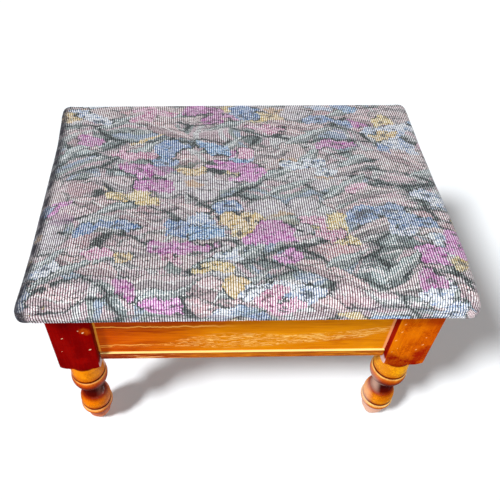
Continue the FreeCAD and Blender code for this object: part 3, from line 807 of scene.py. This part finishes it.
def cloth_material():
    """Ribbed tapestry cloth with a painted-looking garden of blossoms and leaves."""
    s = Shader("floral_tapestry")
    uv = s.node("ShaderNodeUVMap", uv_map="cloth").outputs[0]
    u, v, _ = s.split(s.scaled(uv, (100, 100, 100)))
    # The figure is woven, so its outlines step from thread to thread.
    rib_turn = s.ratio(u, RIB)
    thread = s.floor(s.times(rib_turn, 2.0))
    v_moved = s.line(s.white(s.combine(thread, 0.5)), PICK * 1.6, v)
    pick = s.floor(s.ratio(v_moved, PICK))
    p = s.combine(s.times(thread, RIB / 2), s.times(pick, PICK))
    grit = s.less(s.white(s.combine(thread, pick)), 0.5)
    warp, small_warp = (s.offset(s.noise(p, scale, out="Color"), (0.5, 0.5, 0.5))
                        for scale in (0.13, 0.7))
    q = s.shifted(p, s.scaled(warp, (5.5, 5.0, 0)))
    q = s.shifted(q, s.scaled(small_warp, (0.6, 0.45, 0)))

    ink = Print(s, grit)
    strokes = ground_cloth(s, ink, q, p, warp)
    big_blossoms(s, ink, q)
    leaves(s, ink, q, strokes)
    small_blossoms(s, ink, q, p, small_warp)
    sketch = s.noise(s.shifted(s.scaled(q, (0.5, 2.6, 0)), (9.0, 4.0, 0)), 1.0, 4.0, 0.7, 0.8)
    ink.lay((20, 32, 38), 0.18, ink.mask(sketch, 0.60, 0.64), 0.9)
    ink.lay((206, 208, 214), 1.0, ink.mask(sketch, 0.385, 0.36), 0.75)

    colour, wave, crest, bind = woven(s, ink, u, v, rib_turn, grit)
    # Painted shade in the front left fold, from the fold's attribute.
    fold_shade = s.node("ShaderNodeAttribute", attribute_name="fold_shade").outputs["Fac"]
    # Darker along the left edge, in patches.
    darker_left_edge = s.times(s.step(u, *DARKENED_EDGE), s.step(s.noise(p, 0.8), 0.3, 0.6, 0.65, 1.0))
    colour = s.mix(s.largest(s.times(fold_shade, 0.75), darker_left_edge), colour, (30, 28, 38))
    # Painted shade: dark lines in the grooves between the ribs.
    colour = s.over(colour, (6, 8, 12), s.step(wave, 0.39, 0.44), 0.88)
    height = s.times(crest, s.less(1.0, s.times(bind, 0.6)))
    return s.finish(colour, s.step(crest, 0.0, 1.0, 0.90, 0.74), s.bump(height, 0.0004, 0.6),
                    Sheen_Weight=0.06, Sheen_Roughness=0.5, Specular_IOR_Level=0.15)


def foam_material():
    s = Shader("foam")
    # Painted shade in the pores: dark spots at the cells' middles.
    cell = s.step(s.cells(s.position(), 900.0, dimensions="3D")["Distance"], 0.2, 0.6)
    tone = s.noise(s.position(), 40.0, 3.0)
    colour = s.mix(cell, (150, 132, 84), s.mix(tone, (226, 212, 158), (208, 190, 130)))
    return s.finish(colour, 0.95, s.bump(cell, 0.0004, 0.8), Specular_IOR_Level=0.2)


# ---- The padded lid ----
# Lengths are in metres unless it says otherwise.

LID_LOW, LID_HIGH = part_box("fabric_cover")
HALF_X, HALF_Y = LID_HIGH.x, LID_HIGH.y
PLAN_RADIUS = 0.013
EDGE_RADIUS = 0.010
FOOT_RADIUS = 0.003
INNER_X, INNER_Y = HALF_X - PLAN_RADIUS, HALF_Y - PLAN_RADIUS
TURN_UNDER = 0.020
CLOTH_THICKNESS = 0.0010
FOAM_INSET = 0.0022
BOARD_CLEARANCE = 0.0012
FINE, FINE_BAND = 0.0022, 0.022  # the grid's steps near the edges, and how far in they go
CORNER_STEPS = 8


def graded(half, coarse):
    """Places from -half to half, closer together near the ends."""
    inner = half - FINE_BAND
    count = max(2, round(2 * inner / coarse))
    middle = np.linspace(-inner, inner, count + 1)
    end = np.linspace(inner, half, max(2, round(FINE_BAND / FINE)) + 1)[1:]
    return np.concatenate([-end[::-1], middle, end])


def rim_walk(columns, rows):
    """Points round the inner rectangle, anticlockwise: (grid column, row, direction angle)."""
    walk = []
    for degrees, side in ((-90, [(i, 0) for i in columns]),
                          (0, [(columns[-1], j) for j in rows]),
                          (90, [(i, rows[-1]) for i in reversed(columns)]),
                          (180, [(0, j) for j in reversed(rows)])):
        walk += [(i, j, degrees) for i, j in side]
        walk += [(*side[-1], degrees + 90 * k / CORNER_STEPS) for k in range(1, CORNER_STEPS)]
    return walk


def padded_form(name, rows, top_z, closed_z=None, coarse=0.005):
    """Sheet over a slab: a grid on top, and round it rows of (reach, height, cloth length).

    With closed_z a second grid closes the foot. The UV map "cloth" is the flat cloth.
    """
    xs, ys = graded(INNER_X, coarse), graded(INNER_Y, coarse)
    nx, ny = len(xs), len(ys)
    plan = [(x, y) for y in ys for x in xs]
    points = [(x, y, top_z) for x, y in plan]
    flat = list(plan)
    starts = [j * nx + i for j in range(ny - 1) for i in range(nx - 1)]
    faces = [(a, a + 1, a + 1 + nx, a + nx) for a in starts]
    walk = rim_walk(range(nx), range(ny))

    def join(above, below):
        """Faces between two rings, three-sided where the upper one stands still at a corner."""
        following = [ring[1:] + ring[:1] for ring in (above, below)]
        for a, b, c, d in zip(above, *following, below):
            faces.append(tuple(dict.fromkeys((a, d, c, b))))

    ring = [j * nx + i for i, j, _ in walk]
    for reach, height, cloth in rows:
        start = len(points)
        for i, j, degrees in walk:
            cx, cy = math.cos(math.radians(degrees)), math.sin(math.radians(degrees))
            points.append((xs[i] + reach * cx, ys[j] + reach * cy, height))
            flat.append((xs[i] + cloth * cx, ys[j] + cloth * cy))
        lower = list(range(start, start + len(walk)))
        join(ring, lower)
        ring = lower
    if closed_z is not None:
        start = len(points)
        points += [(x, y, closed_z) for x, y in plan]
        flat += plan
        faces += [(start + a + nx, start + a + nx + 1, start + a + 1, start + a) for a in starts]
        join(ring, [start + j * nx + i for i, j, _ in walk])
    mesh = bpy.data.meshes.new(name)
    mesh.from_pydata(points, [], faces)
    layer = mesh.uv_layers.new(name="cloth")
    index = np.zeros(len(mesh.loops), np.int64)
    mesh.loops.foreach_get("vertex_index", index)
    layer.data.foreach_set("uv", np.array(flat, np.float32)[index].ravel())
    mesh.polygons.foreach_set("use_smooth", [True] * len(mesh.polygons))
    mesh.update()
    return add_to_scene(name, mesh)


def quarter(count):
    return [math.pi / 2 * k / count for k in range(1, count + 1)]


def edge_rows(inset=0.0, turn_under=0.0, foot_z=None):
    """Rows of the slab's rounded edge, from the top outwards and down."""
    top = LID_HIGH.z - inset
    foot = (LID_LOW.z + inset) if foot_z is None else foot_z
    radius, low_radius = EDGE_RADIUS - inset, FOOT_RADIUS - inset * 0.5
    reach = PLAN_RADIUS - inset
    side = top - radius - (foot + low_radius)
    section = [(reach - radius, top)]
    section += [(reach - radius + radius * math.sin(a), top - radius + radius * math.cos(a))
                for a in quarter(7)]
    section += [(reach, top - radius - side * k / 9) for k in range(1, 10)]
    section += [(reach - low_radius + low_radius * math.cos(a),
                 foot + low_radius - low_radius * math.sin(a)) for a in quarter(4)]
    if turn_under:
        section += [(reach - low_radius - (turn_under - low_radius) * k / 5, foot)
                    for k in range(1, 6)]
    steps = [math.dist(a, b) for a, b in zip([(0.0, top)] + section, section)]
    return [(r, z, cloth) for (r, z), cloth in zip(section, accumulate(steps))]


def co_of(mesh):
    co = np.empty(len(mesh.vertices) * 3)
    mesh.vertices.foreach_get("co", co)
    return co.reshape(-1, 3)


def set_co(mesh, co):
    mesh.vertices.foreach_set("co", co.ravel())
    mesh.update()


def smooth(x, low, high):
    t = np.clip((x - low) / (high - low), 0, 1)
    return t * t * (3 - 2 * t)


# How far the ends of the cover stand out from the CAD cover's: (y, outwards), in mm.
LEFT_END = ((-146, 1.2), (-141, 1.0), (-115, -0.5), (-80, -2.0), (-10, -3.0), (35, -2.5),
            (88, -1.0), (126, 2.0), (146, 1.5))
RIGHT_END = ((-146, 0.8), (-139, 0.5), (-115, 2.0), (-93, 3.0), (-50, 3.0), (20, 1.5), (80, 1.5),
             (126, 2.5), (146, 1.5))
CORNER_POWER = {-1: 4.0, 1: 3.0}  # how square the plan corners are, front and back
# The fold at the front left corner: (x, z) on the front face, in mm.
FOLD = ((-176.7, 273.0), (-183.0, 266.0), (-189.0, 261.5), (-194.0, 260.0))
# Laps at the other corners: sides in x and y, size.
LAPS = ((1, -1, 0.8), (-1, 1, 0.9), (1, 1, 0.9))
CROWN = 0.0011
FRONT_WEAR = 0.0030
DIMPLE = 0.00035
STAPLES_X, STAPLES_Y = 0.059, 0.060  # between the staples


def from_line(x, z, line):
    """Distance in the plane from a run of straight pieces."""
    nearest = np.full(x.shape, np.inf)
    for (ax, az), (bx, bz) in zip(line[:-1], line[1:]):
        length = math.hypot(bx - ax, bz - az)
        t = np.clip(((x - ax) * (bx - ax) + (z - az) * (bz - az)) / length ** 2, 0, 1)
        nearest = np.minimum(nearest, np.hypot(x - ax - t * (bx - ax), z - az - t * (bz - az)))
    return nearest


def square_corners(co):
    """Turns the arcs at the plan corners into squarer ones."""
    out_x, out_y = np.abs(co[:, 0]) - INNER_X, np.abs(co[:, 1]) - INNER_Y
    for side, power in CORNER_POWER.items():
        here = (out_x > 1e-6) & (out_y > 1e-6) & (np.sign(co[:, 1]) == side)
        reach = np.hypot(out_x[here], out_y[here])
        c, d = out_x[here] / reach, out_y[here] / reach
        grown = (c ** power + d ** power) ** (-1 / power)
        co[here, 0] = np.sign(co[here, 0]) * (INNER_X + out_x[here] * grown)
        co[here, 1] = np.sign(co[here, 1]) * (INNER_Y + out_y[here] * grown)


def pull_and_fold(obj, folded=True):
    """Given moves: crown, worn front edge, ends drawn in or let out, plump and folded corners."""
    mesh = obj.data
    co = co_of(mesh)
    square_corners(co)
    x, y, z = co.T.copy()
    depth = np.clip((LID_HIGH.z - z) / (LID_HIGH.z - LID_LOW.z), 0, 1)
    along_x, along_y = np.clip(x / HALF_X, -1, 1), np.clip(y / HALF_Y, -1, 1)
    crown = np.clip((1 - along_x ** 2) * (1 - along_y ** 2), 0, 1)
    co[:, 2] += np.where(depth < 0.5, CROWN * np.sqrt(crown) * (1 - depth * 2), 0)
    # The front edge is worn round by feet.
    worn = np.clip((-0.118 - y) / 0.024, 0, 1.15) ** 2
    co[:, 2] -= FRONT_WEAR * worn * smooth(z, 0.252, 0.271)
    # Ends drawn in or let out, and plump corners.
    near_y = smooth(np.abs(y), INNER_Y - 0.012, HALF_Y)
    near_x = smooth(np.abs(x), INNER_X - 0.030, HALF_X)
    for sign, end in ((-1, LEFT_END), (1, RIGHT_END)):
        places, moves = np.array(end).T / 1000
        co[:, 0] += sign * np.interp(y, places, moves) * near_x * (sign * x > 0)
    plump = smooth(depth, 0.15, 0.60) * (1 - 0.6 * smooth(depth, 0.7, 1.0)) * (depth < 0.999)
    for sign, move in ((-1, 0.0028), (1, 0.0018)):
        co[:, 0] += np.sign(x) * move * plump * smooth(sign * y, 0.118, 0.142) * near_x
    co[:, 1] += 0.0015 * plump * smooth(y, INNER_Y, HALF_Y) * smooth(np.abs(x), 0.175, 0.198)
    if folded:
        # Faint dimples above the staples.
        side = smooth(depth, 0.02, 0.35) * smooth(depth, 1.02, 0.93)
        ripple_x = np.cos(x / STAPLES_X * 2 * math.pi) * near_y * side
        ripple_y = np.cos(y / STAPLES_Y * 2 * math.pi) * near_x * side
        co[:, 1] -= np.sign(y) * DIMPLE * ripple_x
        co[:, 0] -= np.sign(x) * DIMPLE * ripple_y
        # Folded corners: a flap on the front or back face laps the corner.
        down = smooth(depth, 0.12, 0.9)
        for sx, sy, size in LAPS:
            lap = INNER_X - sx * x + 0.010 * (1 - depth)
            on_face = smooth(sy * y, HALF_Y - 0.010, HALF_Y - 0.002)
            step_in = smooth(lap, 0.0016, 0.0004) * smooth(lap, -0.022, -0.004)
            groove = np.exp(-((lap - 0.0016) / 0.0012) ** 2)
            relief = 0.0012 * step_in - 0.0007 * groove
            co[:, 1] += sy * size * relief * down * on_face * (sx * x > 0)
        on_front = y < -HALF_Y + 0.012
        fold = np.exp(-(from_line(x * 1000, z * 1000, FOLD) / 1.7) ** 2) * on_front
        above = np.exp(-(from_line(x * 1000, z * 1000 - 3.2, FOLD) / 2.6) ** 2) * on_front
        co[:, 1] += 0.0012 * fold - 0.0007 * above
        co[:, 2] -= 0.0006 * fold * (z > 0.262)
        # The fold's strength, kept for the painted shade in its crease.
        fold_shade = mesh.attributes.new("fold_shade", "FLOAT", "POINT")
        fold_shade.data.foreach_set("value", fold.astype(np.float32))
    set_co(mesh, co)


CLOTH = {"quality": 6, "mass": 0.25, "tension_stiffness": 40, "compression_stiffness": 40,
         "shear_stiffness": 15, "bending_stiffness": 2.0, "use_pressure": True,
         "uniform_pressure_force": 3.0, "vertex_group_mass": "held"}
FRAMES = 20
MOST_MOVE = 0.0012


def simulate(obj, pinned):
    """Fills the cover by cloth simulation, then applies it with each point's move capped."""
    scene = bpy.context.scene
    before = co_of(obj.data)
    group = obj.vertex_groups.new(name="held")
    for index, weight in enumerate(pinned):
        if weight > 0:
            group.add([index], float(weight), "REPLACE")
    cloth = obj.modifiers.new("cloth", "CLOTH")
    for key, value in CLOTH.items():
        setattr(cloth.settings, key, value)
    cloth.settings.effector_weights.gravity = 0
    cloth.collision_settings.use_collision = False
    cloth.collision_settings.use_self_collision = False
    cloth.point_cache.frame_start, cloth.point_cache.frame_end = 1, FRAMES
    for number in range(FRAMES):
        scene.frame_set(number + 1)
    after = co_of(obj.evaluated_get(bpy.context.evaluated_depsgraph_get()).data)
    obj.modifiers.remove(cloth)
    obj.vertex_groups.remove(group)
    scene.frame_set(1)
    move = after - before
    length = np.linalg.norm(move, axis=1, keepdims=True)
    set_co(obj.data, before + move * np.minimum(1, MOST_MOVE / np.maximum(length, 1e-9)))


def keep_outside_board(obj):
    """Moves the cover's sides out of the board where the fill left them too close to it."""
    co = co_of(obj.data)
    low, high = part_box("lid_board")
    beside = (co[:, 2] < high.z + 0.002) & (co[:, 2] > low.z - 0.0008)
    for axis, half, other, inner in ((0, high.x, 1, INNER_Y), (1, high.y, 0, INNER_X)):
        out = np.abs(co[:, axis])
        near = (out > half - 0.006) & (out < half + BOARD_CLEARANCE)
        near &= beside & (np.abs(co[:, other]) < inner)
        co[near, axis] = np.sign(co[near, axis]) * (half + BOARD_CLEARANCE)
    set_co(obj.data, co)


def padded_lid():
    rows = edge_rows(turn_under=TURN_UNDER)
    cover = padded_form("fabric_cover_cloth", rows, LID_HIGH.z)
    pull_and_fold(cover)
    simulate(cover, smooth(co_of(cover.data)[:, 2], LID_LOW.z + 0.006, LID_LOW.z + 0.001))
    keep_outside_board(cover)
    dress(cover, cloth_material())
    thick = cover.modifiers.new("thickness", "SOLIDIFY")
    thick.thickness, thick.offset = CLOTH_THICKNESS, -1
    soft = cover.modifiers.new("soft", "SUBSURF")
    soft.levels = soft.render_levels = 1
    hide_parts("fabric_cover")
    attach(cover, "lid")

    board_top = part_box("foam_pad")[0].z
    foam = padded_form("foam_core", edge_rows(inset=FOAM_INSET, foot_z=board_top),
                       LID_HIGH.z - FOAM_INSET, closed_z=board_top, coarse=0.006)
    pull_and_fold(foam, folded=False)
    dress(foam, foam_material())
    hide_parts("foam_pad")
    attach(foam, "lid")


# ---- All together ----

photo_camera()
stage_and_lights()
dress_wood()
dress_metal()
padded_lid()

bpy.context.view_layer.update()
